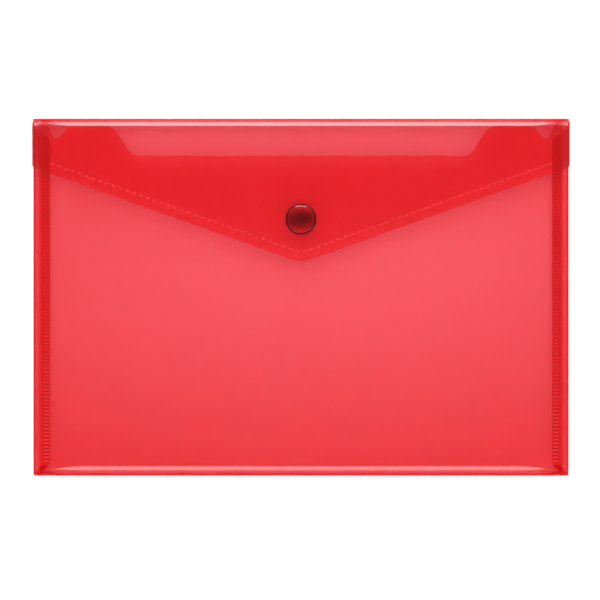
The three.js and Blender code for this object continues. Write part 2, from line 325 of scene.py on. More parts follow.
def sheet_material(
    name, tint, red, share=0.20, index=2.6, vignette_shade=0.0, shades=(), marks=False
):
    """Translucent polypropylene: light goes through it tinted, and its skin shines.

    tint is what one skin lets through, red is the colour that it scatters itself,
    and share is the part of each skin that scatters. Only that part shines, so its
    index is raised until the whole skin shines as plastic does. The painted-shade
    argument makes each skin scatter more away from the palest point, a painted shade
    that leaves the sheet darker and redder towards the sides and the bottom. shades
    darken the red outside a distance from the middle, in millimetres, and each adds to
    the share. With marks, the weld prints through tooth by tooth, stronger towards the
    foot of the seam.
    """
    tree = ShaderTree(name)
    where, (x, y, _) = tree.place()
    broad = tree.noise(where, BROAD_SCALE, 2.0)
    cloud = tree.noise(where, CLOUD_SCALE, 4.0)
    pebble = tree.noise(where, PEBBLE_SCALE, 2.0)
    scratches = hairlines(tree, where, 0.5, 900.0, 0.012)
    cross = hairlines(tree, where, -0.9, 700.0, 0.009)
    worn = (scratches + cross).clamped() * tree.noise(where, 45.0, 2.0).ramp(0.5, 0.7)

    # Painted shade: the share grows away from the palest point, so the sheet is darker and
    # redder towards the sides and the bottom.
    off_x = x - PALEST_LIT_X
    off_y = y - PALEST_LIT_Y
    aside = off_x * off_x * SHADE_GATHER_X + off_y * off_y * SHADE_GATHER_Y
    scatter = (
        share
        + aside * vignette_shade
        + (broad - 0.5) * 0.014
        + (cloud - 0.5) * 0.008
        + worn * 0.02
    )
    colour = tree.mixed_colour((cloud - 0.5) * 1.6 + 0.5, red[0], red[1])
    for edge, dark, denser in shades:
        beyond = abs(x).ramp((edge - 0.12) * MM, (edge + 0.12) * MM)
        colour = tree.mixed_colour(beyond, colour, dark)
        scatter = scatter + beyond * denser
    if marks:
        row, tooth = weld_prints(x, y)
        colour = tree.mixed_colour(row * tooth, colour, WELD_MARK)
        colour = tree.mixed_colour(row * (1.0 - tooth) * 0.7, colour, WELD_GAP)
        scatter = scatter + row * 0.30
    bump = tree.bump(SKIN_BUMP, pebble * 0.5 + worn * -0.6)
    roughness = (SKIN_ROUGHNESS + (cloud - 0.5) * 0.06 + worn * 0.15).clamped(0.04, 0.9)
    skin = tree.add(
        "ShaderNodeBsdfPrincipled",
        {},
        {
            "Base Color": colour,
            "Roughness": roughness,
            "IOR": index,
            "Normal": bump,
        },
    )[0]
    clear = tree.add("ShaderNodeBsdfTransparent", {}, {"Color": (*tint, 1.0)})[0]
    mixed = tree.add(
        "ShaderNodeMixShader", {}, {0: scatter.clamped(0.0, 1.0), 1: clear, 2: skin}
    )[0]
    return tree.finish(mixed)


# The cap's seat: its own dark red with the painted shade of the gap round the dome.
SEAT_DARK_AND_SHADE = (0.020, 0.0012, 0.0016)
BOARD_WHITES = ((0.74, 0.74, 0.74), (0.76, 0.76, 0.76))


def stud_material(name, deep, light, rough, ring=None):
    """Moulded plastic, dark red, with a fine moulded grain and rubbed high spots.

    It is deep at the stud's axis and lighter towards its rim, where the dome thins, and it
    is painted lighter above and below the axis than beside it: painted light from the
    lamps at the two ends.
    With a ring radius, what lies outside it is the cap's seat, dark in its own colour and
    painted darker with the shade of the gap round the dome, and the shoulder inside it has
    a clear coat on its upper side, which brightens the highlight there: a painted
    highlight.
    """
    tree = ShaderTree(name)
    where, (x, y, _) = tree.place()
    off_y = y - STUD_Y * MM
    cloud = tree.noise(where, 260.0, 4.0)
    grain = tree.noise(where, 5200.0, 2.0)
    rub = tree.noise(where, 900.0, 3.0).ramp(0.52, 0.75)
    # Painted light: lighter towards the rim, and more so above and below the axis than
    # beside it, where the end lamps fall.
    aside = x * x * 0.3 + off_y * off_y
    rim_and_lit_ends = (aside / (6.0 * MM) ** 2) ** 1.3
    colour = tree.mixed_colour((rim_and_lit_ends * 0.85 + cloud * 0.15).clamped(), deep, light)
    highlight_coat = 0.0
    if ring is not None:
        from_axis = (x * x + off_y * off_y) ** 0.5
        # Painted shade: the seat outside the ring is dark for the shadow of the gap round
        # the dome as well as for its colour.
        shaded_seat = from_axis.ramp((ring - 0.08) * MM, (ring + 0.08) * MM)
        colour = tree.mixed_colour(shaded_seat, colour, SEAT_DARK_AND_SHADE)
        shoulder = from_axis.ramp((ring - 0.58) * MM, (ring - 0.48) * MM) * (1.0 - shaded_seat)
        # A clear coat on the upper shoulder only, brightening the highlight of the top
        # lamp: a painted highlight.
        highlight_coat = shoulder * off_y.ramp(2.0 * MM, 4.0 * MM)
    bump = tree.bump(STUD_BUMP, grain + rub * -0.4)
    skin = tree.add(
        "ShaderNodeBsdfPrincipled",
        {},
        {
            "Base Color": colour,
            "Roughness": (rough + rub * 0.10).clamped(0.05, 0.9),
            "IOR": 1.5,
            "Coat Weight": highlight_coat,
            "Coat Roughness": 0.05,
            "Normal": bump,
        },
    )[0]
    return tree.finish(skin)


def floor_material():
    """Plain white studio board."""
    tree = ShaderTree("white_board")
    where, _ = tree.place()
    tooth = tree.noise(where, 300.0, 3.0)
    colour = tree.mixed_colour(tooth, *BOARD_WHITES)
    skin = tree.add(
        "ShaderNodeBsdfPrincipled",
        {},
        {"Base Color": colour, "Roughness": 0.9, "Specular IOR Level": 0.2},
    )[0]
    return tree.finish(skin)


# What one skin of the sheet lets through, and the red that it scatters.
PANEL_TINT = (0.980, 0.712, 0.747)
BACK_TINT = (0.975, 0.985, 0.992)
SHEET_REDS = ((0.60, 0.002, 0.0035), (0.66, 0.003, 0.005))
SEAM_SHADE = (0.42, 0.0025, 0.0045)
EDGE_SHADE = (0.28, 0.0015, 0.002)
WELD_MARK = (0.20, 0.001, 0.002)
WELD_GAP = (0.80, 0.012, 0.015)

# The front and the back carry painted shade, darker and redder towards the sides and the
# bottom.
front_red = sheet_material(
    "front_sheet_red", PANEL_TINT, SHEET_REDS, vignette_shade=0.21, marks=True
)
back_red = sheet_material(
    "back_sheet_red", BACK_TINT, SHEET_REDS, share=0.155, vignette_shade=0.04
)
seam_red = sheet_material(
    "seam_sheet_red", (0.91, 0.72, 0.75), (SEAM_SHADE, SHEET_REDS[0]), share=0.24
)
gusset_red = sheet_material(
    "gusset_doubled_red",
    (0.88, 0.55, 0.58),
    ((0.30, 0.002, 0.003), (0.36, 0.002, 0.004)),
    share=0.7,
    index=1.3,
)
flap_red = sheet_material(
    "flap_sheet_red",
    PANEL_TINT,
    SHEET_REDS,
    shades=((SEAM_X, SEAM_SHADE, 0.04), (FLAP_X - 0.95, EDGE_SHADE, 0.6)),
)
# The top fold's slopes are a lit copy of the sheet that shines more than the flats: its
# raised index makes the fold's highlight brighter than the lamp alone would, a painted
# highlight. The sheet goes on unbroken where two pieces of it meet.
fold_highlight_red = sheet_material("top_fold_highlight_red", PANEL_TINT, SHEET_REDS, index=3.7)
joined_clear = sheet_material(
    "joined_sheet_clear", (1.0, 1.0, 1.0), SHEET_REDS, share=0.004
)
# A copy of the sheet that hardly shines, a shaded copy: on the creased ends of the bottom
# fold it keeps the lamp's highlight off, and it also lies on the side folds' undersides.
highlightless_red = sheet_material("creased_sheet_highlightless_red", PANEL_TINT, SHEET_REDS, index=1.2)
# Where the sheet bends over, the eye looks along it through more of its thickness. Both
# copies below also shine less than the flats, shaded copies that keep reflections off the
# bends and the crowns.
bend_red = sheet_material(
    "bent_sheet_red",
    (0.985, 0.78, 0.80),
    ((0.61, 0.018, 0.022), (0.67, 0.024, 0.028)),
    share=0.36,
    index=1.25,
)
crown_red = sheet_material(
    "crown_sheet_red",
    (0.93, 0.45, 0.48),
    ((0.54, 0.001, 0.003), (0.60, 0.002, 0.004)),
    share=0.72,
    index=1.05,
)
score_red = sheet_material(
    "score_thin_red",
    (0.992, 0.96, 0.965),
    ((0.90, 0.065, 0.07), (0.94, 0.075, 0.08)),
    share=0.46,
)
weld_red = sheet_material(
    "weld_fused_red",
    (0.85, 0.55, 0.58),
    ((0.16, 0.001, 0.002), (0.22, 0.002, 0.003)),
    share=0.4,
)
edge_red = sheet_material(
    "cut_edge_red",
    (0.90, 0.55, 0.6),
    ((0.20, 0.0015, 0.002), (0.28, 0.002, 0.003)),
    share=0.4,
    index=1.4,
)
stud_red = stud_material(
    "stud_moulded_red", (0.038, 0.0005, 0.0008), (0.36, 0.005, 0.008), 0.09, ring=6.30
)
stud_inner_red = stud_material(
    "stud_inner_red", (0.10, 0.004, 0.005), (0.16, 0.007, 0.009), 0.35
)


# Helpers that make and finish a piece's mesh.


def new_piece(name, mesh, material=None):
    """A piece with its place in its mesh."""
    piece = bpy.data.objects.new(name, mesh)
    bpy.context.scene.collection.objects.link(piece)
    if material is not None:
        mesh.materials.append(material)
    return piece


def mesh_from(bm, name):
    mesh = bpy.data.meshes.new(name)
    bm.to_mesh(mesh)
    bm.free()
    return mesh


def settled(piece):
    """The piece's own mesh takes what its modifiers make, and they are dropped."""
    bpy.context.view_layer.update()
    graph = bpy.context.evaluated_depsgraph_get()
    made = bpy.data.meshes.new_from_object(piece.evaluated_get(graph))
    made.name = piece.name
    piece.modifiers.clear()
    piece.data = made
    return piece


def smooth_by_angle(piece, degrees):
    """Smooth, but for edges sharper than the angle and those creased before."""
    mesh = piece.data
    creased = [edge.index for edge in mesh.edges if edge.use_edge_sharp]
    mesh.polygons.foreach_set("use_smooth", [True] * len(mesh.polygons))
    mesh.set_sharp_from_angle(angle=math.radians(degrees))
    for index in creased:
        mesh.edges[index].use_edge_sharp = True
    mesh.update()


def strip(bm, rows):
    """Quads between rows of points, each row as long as the next."""
    made = [[bm.verts.new(Vector(p) * MM) for p in row] for row in rows]
    for low, high in zip(made, made[1:]):
        for i in range(len(low) - 1):
            bm.faces.new((low[i], low[i + 1], high[i + 1], high[i]))


def panel(bm, points, z):
    bm.faces.new([bm.verts.new(Vector((x, y, z)) * MM) for x, y in points])


MERGE = 0.02
BEND_LEAN = 20.0
SHEET_SMOOTH = 35.0


def thick_sheet(name, bm, materials, crown_lean=50.0):
    """Joins the mid-surface and gives it the sheet's thickness, with cut edges.

    Faces that lean more than crown_lean degrees are the folds' crowns, and those short
    of it by less than BEND_LEAN their bends.
    """
    bmesh.ops.remove_doubles(bm, verts=bm.verts, dist=MERGE * MM)
    bmesh.ops.recalc_face_normals(bm, faces=bm.faces)
    materials = (*materials, bend_red, crown_red)
    for face in bm.faces:
        lean = math.degrees(math.acos(min(1.0, abs(face.normal.z))))
        if materials[face.material_index] in (gusset_red, highlightless_red):
            continue
        if lean > crown_lean:
            face.material_index = len(materials) - 1
        elif lean > crown_lean - BEND_LEAN:
            face.material_index = len(materials) - 2
    mesh = mesh_from(bm, name)
    for material in (*materials, joined_clear, edge_red):
        mesh.materials.append(material)
    edge = len(materials) + 1
    piece = new_piece(name, mesh)
    wall = piece.modifiers.new("thickness", "SOLIDIFY")
    wall.thickness = SHEET * MM
    wall.offset = 0.0
    wall.use_even_offset = True
    wall.material_offset_rim = edge
    settled(piece)
    for vert in piece.data.vertices:
        for axis in range(3):
            low, high = CAD_BOX[0][axis], CAD_BOX[1][axis]
            vert.co[axis] = min(max(vert.co[axis], low), high)
    for face in piece.data.polygons:
        at_joint = abs(face.center.y - TOP_Y * MM) < 0.01 * MM
        if face.material_index == edge and at_joint:
            face.material_index = edge - 1
    smooth_by_angle(piece, SHEET_SMOOTH)
    return piece


def quarter_turn():
    """The fold's angle, from flat to its crown."""
    return [math.pi / 2 * i / FOLD_ROWS for i in range(FOLD_ROWS + 1)]


def arc(cx, cy, radius, start, end, count):
    """Points round a centre, angles in degrees."""
    step = (end - start) / count
    return [
        (
            cx + radius * math.cos(math.radians(start + step * i)),
            cy + radius * math.sin(math.radians(start + step * i)),
        )
        for i in range(count + 1)
    ]


def mirrored(points):
    return [(-x, y) for x, y in reversed(points)]


def rounded(points, radius, steps=8):
    """A line of points with each inner corner rounded."""
    made = [points[0]]
    for before, corner, after in zip(points, points[1:], points[2:]):
        a = Vector(before) - Vector(corner)
        b = Vector(after) - Vector(corner)
        half = a.angle(b) / 2
        reach = min(radius / math.tan(half), a.length * 0.49, b.length * 0.49)
        start = Vector(corner) + a.normalized() * reach
        end = Vector(corner) + b.normalized() * reach
        for i in range(steps + 1):
            t = i / steps
            p = (
                start * (1 - t) ** 2
                + Vector(corner) * 2 * t * (1 - t)
                + end * t * t
            )
            made.append((p.x, p.y))
    made.append(points[-1])
    return made


# The pocket: back, front, side folds and bottom fold in one sheet.

# The bottom fold along its half length: how far it bends in from its crown, and how
# round it is, 2 being a full round. It is creased flatter and then tight towards the
# corners, where the side folds hold it.
BOTTOM_EDGE_Y = BOTTOM_Y - BOTTOM_REACH
CORNER_REACH = 1.6
CREASED_X = 110.2
BOTTOM_BENDS = (
    (0.0, 4.4, 2.0),
    (60.0, 4.4, 2.0),
    (98.0, 4.4, 2.0),
    (101.5, 4.25, 2.0),
    (104.5, 3.85, 1.9),
    (107.5, 3.2, 1.6),
    (110.2, 2.6, 1.25),
    (112.4, 2.1, 1.12),
    (114.2, 1.8, 1.12),
    (116.0, CORNER_REACH, 1.12),
    (SIDE_X, CORNER_REACH, 2.0),
)


def front_upper_edge():
    """The front's upper edge on the right, from its middle out to the side fold."""
    line = [
        (0.0, 63.3),
        (75.4, 63.3),
        (84.4, 76.7),
        (103.9, 76.7),
        (108.5, 71.3),
        (110.8, 71.3),
        (113.4, 77.05),
        (SIDE_X, FRONT_CORNER_Y),
    ]
    radii = [5.8, 7.8, 2.2, 1.3, 1.0, 1.5]
    made = [line[0]]
    for i, radius in enumerate(radii):
        made += rounded(line[i : i + 3], radius)[1:-1]
    made.append(line[-1])
    return made


def bent(t, roundness):
    """How far out and how high a fold is at turn t; 2 is a full round."""
    power = 2 / roundness
    return math.sin(t) ** power, abs(math.cos(t)) ** power


# The first rows of a fold are still flat: how far back from where it starts to bend.
FLAT_ROWS = {0: 1.0, 1: 0.08}


def mitre(t):
    """X and Y of the line where the side fold and the bottom fold meet, at turn t."""
    out = math.sin(t)
    return SIDE_X + SIDE_REACH * out, BOTTOM_EDGE_Y + CORNER_REACH * (1 - out)


def side_fold(bm, side, back):
    """One quarter of a side fold, mitred against the bottom fold at its foot."""
    start = SEAM_Z if back else FRONT_Z
    rows = []
    for t in quarter_turn():
        out = math.sin(t)
        if back:
            top_y = SEAM_TOP_Y[0] + (SIDE_TOP_Y - SEAM_TOP_Y[0]) * out
        else:
            top_y = FRONT_CORNER_Y + (SIDE_TOP_Y - FRONT_CORNER_Y) * out
        x, foot_y = mitre(t)
        foot_z = BOTTOM_CROWN_Z + (start - BOTTOM_CROWN_Z) * math.cos(t)
        z = SIDE_CROWN_Z + (start - SIDE_CROWN_Z) * math.cos(t)
        near_y = foot_y + (BOTTOM_Y - foot_y) * FLAT_ROWS[1]
        row = [(x, foot_y, foot_z), (x, near_y, foot_z), (x, BOTTOM_Y, foot_z)]
        row += [(x, y, z) for y in (CORNER_LIFT_Y, 0.0, top_y)]
        rows.append([(side * x, y, z) for x, y, z in row])
    strip(bm, rows)


def bottom_fold(bm, back):
    """One quarter of the bottom fold, narrowing to the mitres at both ends."""
    start = BACK_Z if back else FRONT_Z
    rows = []
    for place, t in enumerate([0.0, 0.0, *quarter_turn()]):
        across = []
        for station, reach, roundness in BOTTOM_BENDS:
            out, high = bent(t, roundness)
            y = BOTTOM_EDGE_Y + reach * (1 - out)
            z = BOTTOM_CROWN_Z + (start - BOTTOM_CROWN_Z) * high
            if station == SIDE_X:
                station, y = mitre(t)
            y += (BOTTOM_Y - y) * FLAT_ROWS.get(place, 0.0)
            across.append((station, y, z))
        rows.append([(-x, y, z) for x, y, z in reversed(across[1:])] + across)
    strip(bm, rows)


def seam_gusset(bm, side):
    """The flange's foot, which runs on into the corner between the two folds."""
    inner = [(SEAM_X, SEAM_FOOT_Y), (113.7, -75.9), (116.2, -78.1), (118.8, -79.45)]
    outer = [(SIDE_X, BOTTOM_Y - 0.4), (117.5, -76.6), (118.5, -78.0), (119.35, -79.2)]
    rise = 1.9
    rows = []
    for edge in (rounded(outer, 2.0, 4), rounded(inner, 2.0, 4)):
        last = len(edge) - 1
        rows.append(
            [
                (side * x, y, SEAM_Z + rise * (1 - math.cos(math.pi / 2 * i / last)))
                for i, (x, y) in enumerate(edge)
            ]
        )
    strip(bm, rows)


def crease_mitres(bm):
    """The folds meet at the corners in a crease, not a round."""
    for edge in bm.edges:
        on_mitre = True
        for vert in edge.verts:
            x, y = abs(vert.co.x) / MM, vert.co.y / MM
            out = (x - SIDE_X) / SIDE_REACH
            line_y = BOTTOM_EDGE_Y + CORNER_REACH * (1 - out)
            on_mitre = on_mitre and out > -0.01 and abs(y - line_y) < 0.02
        if on_mitre:
            edge.smooth = False


def seam_flange(bm, side):
    """The strip folded in behind the front, which the weld holds to the back."""
    outer = (
        (side * SIDE_X, BOTTOM_Y - 0.4, SEAM_Z),
        (side * SIDE_X, BOTTOM_Y, SEAM_Z),
        (side * SIDE_X, CORNER_LIFT_Y, SEAM_Z),
        (side * SIDE_X, 0.0, SEAM_Z),
        (side * SIDE_X, SEAM_TOP_Y[0], SEAM_Z),
    )
    inner = (
        (side * SEAM_X, SEAM_FOOT_Y, SEAM_Z),
        (side * SEAM_X, SEAM_FOOT_Y + 0.6, SEAM_Z),
        (side * SEAM_X, CORNER_LIFT_Y, SEAM_Z),
        (side * SEAM_X, 0.0, SEAM_Z),
        (side * SEAM_X, SEAM_TOP_Y[1], SEAM_Z),
    )
    strip(bm, [outer, inner])


def pocket_sheet():
    """The pocket as one sheet, each stretch with the red of its layers."""
    bm = bmesh.new()
    right = [
        (SIDE_X, BOTTOM_Y),
        (BACK_X, BOTTOM_Y + 1.0),
        (BACK_X, BACK_STEP_Y[0]),
        (HALF_W, BACK_STEP_Y[1]),
        (HALF_W, TOP_Y),
    ]
    stations = [bend[0] for bend in BOTTOM_BENDS[1:-1]]
    middle = [(-x, BOTTOM_Y) for x in reversed(stations)]
    middle += [(x, BOTTOM_Y) for x in (0.0, *stations)]
    panel(bm, middle + right + mirrored(right), BACK_Z)
    upper = front_upper_edge()
    ring = [(SIDE_X, y) for y in (BOTTOM_Y, CORNER_LIFT_Y, 0.0)]
    edge = list(reversed(upper))
    outline = middle + ring + edge
    outline += [(-x, y) for x, y in upper[1:]] + [(-x, y) for x, y in reversed(ring)]
    panel(bm, outline, FRONT_Z)
    for back in (False, True):
        bottom_fold(bm, back)
        for side in (-1, 1):
            side_fold(bm, side, back)
    for side in (-1, 1):
        seam_flange(bm, side)
    bm.normal_update()
    for face in bm.faces:
        middle = face.calc_center_median() / MM
        # Shaded copy: the bottom fold's creased ends take the sheet that hardly shines, so
        # the lamp's highlight stops short of the corners.
        on_end = middle.y < BOTTOM_Y and CREASED_X < abs(middle.x) < SIDE_X
        if on_end and middle.z > BOTTOM_CROWN_Z and abs(face.normal.z) > 0.3:
            face.material_index = 4
            continue
        if middle.z > SIDE_CROWN_Z:
            continue
        if abs(middle.x) < SEAM_X or middle.z < SEAM_Z - 0.1 or middle.y < BOTTOM_Y:
            face.material_index = 1
        elif abs(middle.x) < SIDE_X:
            face.material_index = 2
        elif abs(face.normal.z) > 0.86:
            face.material_index = 4
    for side in (-1, 1):
        before = set(bm.faces)
        seam_gusset(bm, side)
        for face in set(bm.faces) - before:
            face.material_index = 3
    crease_mitres(bm)
    return thick_sheet(
        "pocket_sheet", bm, (front_red, back_red, seam_red, gusset_red, highlightless_red)
    )


# The long fold and the flap.


# The top fold along its half length: how far it bends in from its crown, and how round
# it is, 2 being a full round. It is pinched tight and flat where the pocket's welded
# sides hold the sheet, and opens again at its very ends.
TOP_FOLD_BENDS = (
    (0.0, 3.2, 2.0),
    (50.0, 3.2, 2.0),
    (101.0, 3.2, 2.0),
    (104.0, 3.1, 1.95),
    (107.0, 2.75, 1.8),
    (110.0, 2.35, 1.6),
    (112.5, 2.0, 1.35),
    (114.2, 1.85, 1.15),
    (116.6, 1.8, 1.15),
    (118.2, 2.6, 1.7),
    (119.25, 3.1, 1.9),
    (120.0, 3.3, 2.0),
)


def top_fold_sheet():
    """The long fold over which the back becomes the flap."""
    bm = bmesh.new()
    rows = []
    count = 2 * FOLD_ROWS
    turns = [math.pi * i / count for i in range(count + 1)]
    flats = {count + 3: 0.08, count + 4: 1.0, **FLAT_ROWS}
    for place, t in enumerate([0.0, 0.0, *turns, math.pi, math.pi]):
        across = []
        half = HALF_W - (HALF_W - FLAP_CROWN_X) * math.sin(t)
        half += (FLAP_X - HALF_W) * max(0.0, -math.cos(t))
        for station, bend, roundness in TOP_FOLD_BENDS:
            out, high = bent(t, roundness)
            y = TOP_Y + TOP_REACH - bend * (1 - out)
            y += (TOP_Y - y) * flats.get(place, 0.0)
            z = TOP_CROWN_Z - (TOP_CROWN_Z - BACK_Z) * math.copysign(high, math.cos(t))
            across.append((half * station / 120.0, y, z))
        rows.append([(-x, y, z) for x, y, z in reversed(across[1:])] + across)
    strip(bm, rows)
    for face in bm.faces:
        if face.calc_center_median().z < TOP_CROWN_Z * MM:
            face.material_index = 1
        # The slopes on the flap's side take the copy that shines more, brightening the
        # fold's highlight: a painted highlight.
        elif abs(face.normal.z) < 0.999:
            face.material_index = 2
        # The fold's very ends take the crown's dark red, which hardly shines: a shaded
        # copy that keeps the highlight off them, with the dark line of the edge.
        if abs(face.calc_center_median().x) > 119.3 * MM:
            face.material_index = 3
    return thick_sheet(
        "top_fold_sheet", bm, (flap_red, back_red, fold_highlight_red, crown_red), crown_lean=63.0
    )


def tip_line(inset, end_x, steps=1):
    """The V's right half at an inset from the flap's edge, from the tip outwards."""
    rise = math.hypot(1.0, FLAP_SLOPE)
    radius = TIP_R - inset
    lean = math.degrees(math.asin(FLAP_SLOPE / rise))
    made = arc(0.0, TIP_CENTRE_Y, radius, -90.0, -90.0 + lean, TIP_ROWS)
    start_y = FLAP_V_Y + inset * rise
    first_x = made[-1][0]
    for i in range(1, steps + 1):
        x = first_x + (end_x - first_x) * i / steps
        made.append((x, start_y + FLAP_SLOPE * x))
    return made


def droop(x, y):
    """How far the flap sinks towards the front on either side of the stud."""
    aside = min(max((abs(x) - HELD) / FREE_WIDTH, 0.0), 1.0)
    down = max(DROOP_FROM_Y - y, 0.0)
    if down < DROOP_EASE:
        eased = down * down / (2 * DROOP_EASE)
    else:
        eased = down - DROOP_EASE / 2
    tip = max(STUD_Y - HELD - y, 0.0)
    held = aside * aside * (3 - 2 * aside)
    return DROOP_SLOPE * (eased * held + tip * (1 - held))


def flap_sheet():
    """The flap, cut into a grid so that it can sink smoothly."""
    bm = bmesh.new()
    half = tip_line(0.0, FLAP_X)
    corner = rounded([half[-2], half[-1], (FLAP_X, TOP_Y)], CORNER_R)
    right = half[:-1] + corner[1:]
    across = [FLAP_X * bend[0] / 120.0 for bend in TOP_FOLD_BENDS[:-1]]
    top = [(x, TOP_Y) for x in reversed(across)] + [(-x, TOP_Y) for x in across[1:]]
    left = [(-x, y) for x, y in reversed(right[1:])]
    panel(bm, right + top + left, FLAP_Z)
    cuts = [((x, 0.0, 0.0), (1.0, 0.0, 0.0)) for x in range(-115, 116, 5)]
    cuts += [((0.0, y, 0.0), (0.0, 1.0, 0.0)) for y in range(18, 76, 3)]
    for point, normal in cuts:
        everything = [*bm.verts, *bm.edges, *bm.faces]
        bmesh.ops.bisect_plane(
            bm, geom=everything, plane_co=Vector(point) * MM, plane_no=normal
        )
    for vert in bm.verts:
        vert.co.z -= droop(vert.co.x / MM, vert.co.y / MM) * MM
    return thick_sheet("flap_sheet", bm, (flap_red,))


# What repeats: the weld's teeth and the score's dashes.


def group_input(tree, name, kind, value):
    socket = tree.interface.new_socket(name, in_out="INPUT", socket_type=kind)
    if kind != "NodeSocketGeometry":
        socket.default_value = value
    return socket


class GeoTree:
    """A geometry node tree with named inputs, filled by one method."""

    def __init__(self, name, inputs):
        self.tree = bpy.data.node_groups.new(name, "GeometryNodeTree")
        group_input(self.tree, "Geometry", "NodeSocketGeometry", None)
        self.ids = {}
        for key, (kind, value) in inputs.items():
            self.ids[key] = group_input(self.tree, key, kind, value).identifier
        self.tree.interface.new_socket(
            "Geometry", in_out="OUTPUT", socket_type="NodeSocketGeometry"
        )
        self.source = self.tree.nodes.new("NodeGroupInput")

    def given(self, key):
        return self.source.outputs[key]

    def add(self, kind, settings=None, sockets=None):
        node = self.tree.nodes.new(kind)
        for key, value in (settings or {}).items():
            setattr(node, key, value)
        for key, value in (sockets or {}).items():
            if isinstance(value, bpy.types.NodeSocket):
                self.tree.links.new(value, node.inputs[key])
            else:
                node.inputs[key].default_value = value
        return node

    def times(self, a, b):
        node = self.add("ShaderNodeMath", {"operation": "MULTIPLY"}, {0: a, 1: b})
        return node.outputs[0]

    def triple(self, x, y, z):
        node = self.add("ShaderNodeCombineXYZ", {}, {0: x, 1: y, 2: z})
        return node.outputs[0]

    def rounded_bar(self, length, width, height, corner, steps):
        """A short bar with round corners: length on X, width on Y, up from Z = 0."""
        outline = self.add(
            "GeometryNodeCurvePrimitiveQuadrilateral",
            {},
            {"Width": length, "Height": width},
        )
        soft = self.add(
            "GeometryNodeFilletCurve",
            {},
            {"Curve": outline.outputs[0], "Radius": corner},
        )
        for item in soft.inputs:
            if item.name == "Mode":
                item.default_value = "Poly"
            if item.name == "Count":
                item.default_value = steps
            if item.name == "Limit Radius":
                item.default_value = True
        face = self.add("GeometryNodeFillCurve", {}, {"Curve": soft.outputs[0]})
        for item in face.inputs:
            if item.name == "Mode":
                item.default_value = "N-gons"
        flipped = self.add("GeometryNodeFlipFaces", {}, {"Mesh": face.outputs[0]})
        raised = self.add(
            "GeometryNodeExtrudeMesh",
            {},
            {
                "Mesh": face.outputs[0],
                "Offset": self.triple(0.0, 0.0, height),
                "Individual": False,
            },
        )
        both = self.add("GeometryNodeJoinGeometry")
        self.tree.links.new(flipped.outputs[0], both.inputs[0])
        self.tree.links.new(raised.outputs[0], both.inputs[0])
        return self.add(
            "GeometryNodeMergeByDistance",
            {},
            {"Geometry": both.outputs[0], "Distance": 0.001 * MM},
        )

    def close(self, geometry, material):
        real = self.add("GeometryNodeRealizeInstances", {}, {"Geometry": geometry})
        dressed = self.add(
            "GeometryNodeSetMaterial",
            {},
            {"Geometry": real.outputs[0], "Material": material},
        )
        out = self.add("NodeGroupOutput")
        self.tree.links.new(dressed.outputs[0], out.inputs[0])


def with_tree(piece, geo, values):
    """Puts the tree on the piece, sets its inputs, and keeps what it makes."""
    live = piece.modifiers.new("repeated", "NODES")
    live.node_group = geo.tree
    for key, value in values.items():
        live[geo.ids[key]] = value
    return settled(piece)


def weld_tree():
    """A row of round-cornered teeth on Y, from a first place and at a pitch."""
    geo = GeoTree(
        "weld_teeth_rows",
        {
            "Count": ("NodeSocketInt", TOOTH_COUNT),
            "Pitch": ("NodeSocketFloat", TOOTH_PITCH * MM),
            "Tooth Length": ("NodeSocketFloat", TOOTH_L * MM),
            "Tooth Width": ("NodeSocketFloat", TOOTH_H * MM),
            "Tooth Height": ("NodeSocketFloat", 0.2 * MM),
            "First": ("NodeSocketVector", (0.0, 0.0, 0.0)),
            "Material": ("NodeSocketMaterial", None),
        },
    )
    bar = geo.rounded_bar(
        geo.given("Tooth Length"),
        geo.given("Tooth Width"),
        geo.given("Tooth Height"),
        geo.times(geo.given("Tooth Width"), 0.3),
        3,
    )
    row = geo.add(
        "GeometryNodeMeshLine",
        {"mode": "OFFSET"},
        {
            "Count": geo.given("Count"),
            "Start Location": geo.given("First"),
            "Offset": geo.triple(0.0, geo.given("Pitch"), 0.0),
        },
    )
    placed = geo.add(
        "GeometryNodeInstanceOnPoints",
        {},
        {"Points": row.outputs[0], "Instance": bar.outputs[0]},
    )
    geo.close(placed.outputs[0], geo.given("Material"))
    return geo


def weld_teeth(geo, side, name):
    piece = new_piece(name, bpy.data.meshes.new(name))
    first = (side * TOOTH_MID_X * MM, TOOTH_FIRST_Y * MM, TOOTH_Z[0] * MM)
    with_tree(
        piece,
        geo,
        {
            "First": first,
            "Tooth Height": (TOOTH_Z[1] - TOOTH_Z[0]) * MM,
            "Material": weld_red,
        },
    )
    smooth_by_angle(piece, 30)
    return piece


def score_tree():
    """Round-ended dashes along the piece's line, each turned to it."""
    geo = GeoTree(
        "score_dashes_on_a_line",
        {
            "Pitch": ("NodeSocketFloat", SCORE_PITCH * MM),
            "Dash": ("NodeSocketFloat", SCORE_DASH * MM),
            "Width": ("NodeSocketFloat", SCORE_W * MM),
            "Height": ("NodeSocketFloat", 2 * SCORE_DEPTH * MM),
            "Material": ("NodeSocketMaterial", None),
        },
    )
    bar = geo.rounded_bar(
        geo.given("Dash"),
        geo.given("Width"),
        geo.given("Height"),
        geo.times(geo.given("Width"), 0.45),
        4,
    )
    line = geo.add("GeometryNodeMeshToCurve", {}, {"Mesh": geo.given("Geometry")})
    spaced = geo.add(
        "GeometryNodeCurveToPoints",
        {"mode": "LENGTH"},
        {"Curve": line.outputs[0], "Length": geo.given("Pitch")},
    )
    tangent = spaced.outputs["Tangent"]
    turn = geo.add(
        "FunctionNodeAlignRotationToVector", {"axis": "X"}, {"Vector": tangent}
    )
    placed = geo.add(
        "GeometryNodeInstanceOnPoints",
        {},
        {
            "Points": spaced.outputs["Points"],
            "Instance": bar.outputs[0],
            "Rotation": turn.outputs[0],
        },
    )
    geo.close(placed.outputs[0], geo.given("Material"))
    return geo


